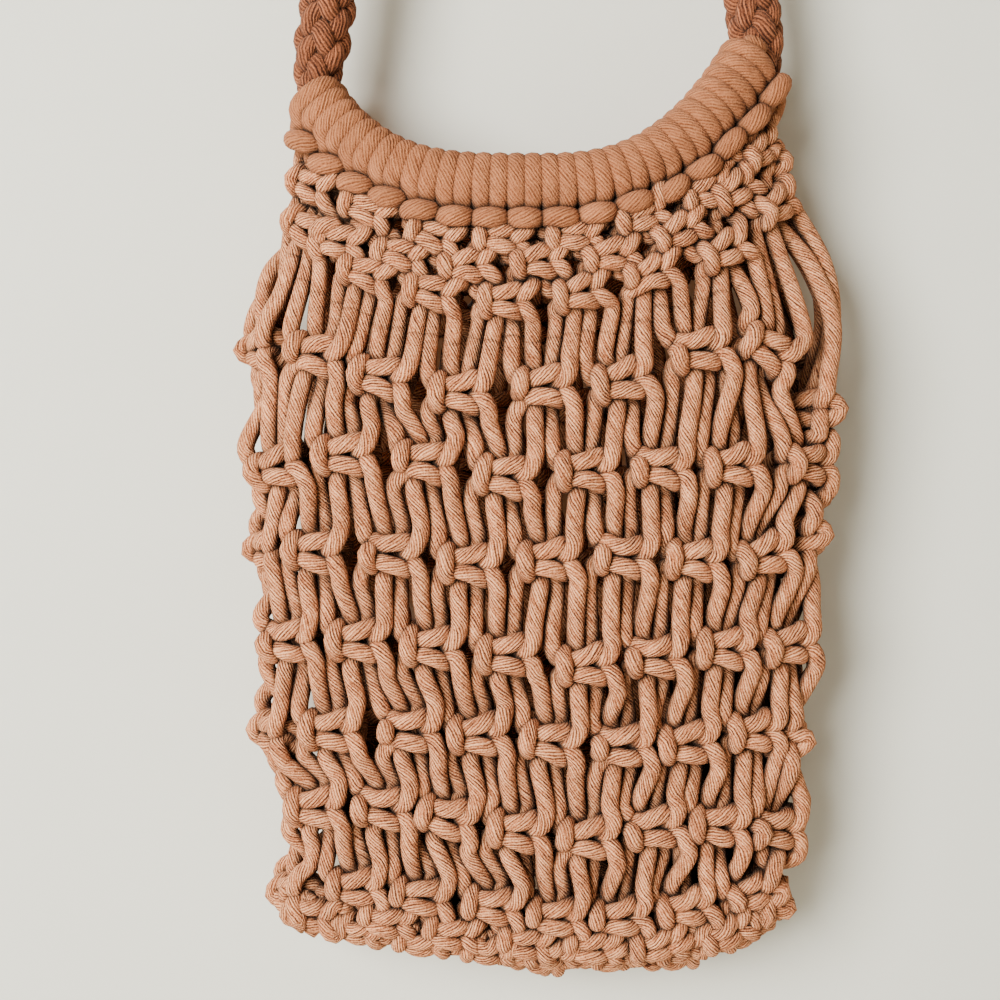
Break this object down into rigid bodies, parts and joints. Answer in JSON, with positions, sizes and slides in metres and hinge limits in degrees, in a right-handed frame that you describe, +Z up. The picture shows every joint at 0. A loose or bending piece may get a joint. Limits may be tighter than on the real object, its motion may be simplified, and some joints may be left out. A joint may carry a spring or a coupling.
{
  "type": "macrame cord shoulder bag",
  "caption": "Small macrame bag of thick cotton cord: wrapped rims, open square-knot net, closed base and a long braided shoulder strap.",
  "frame": {"origin": "the middle of the strap's underside at its top, where it lies over a peg, hook or shoulder", "axes": "+Z up along the hanging bag, +X to the right as the front is seen, the front faces -Y"},
  "size_m": [0.1662, 0.0497, 0.5986],
  "materials": {
    "strap_cord": "matt braided cotton cord, terracotta",
    "rim_cord": "matt twisted cotton cord wrapped close, terracotta",
    "net_cord": "matt twisted cotton cord in square knots, terracotta"
  },
  "bodies": {
    "root": {"strap": "strap_cord", "rim_front": "rim_cord", "rim_back": "rim_cord", "yoke": "net_cord", "net": "net_cord", "base": "net_cord"}
  },
  "joints": []
}
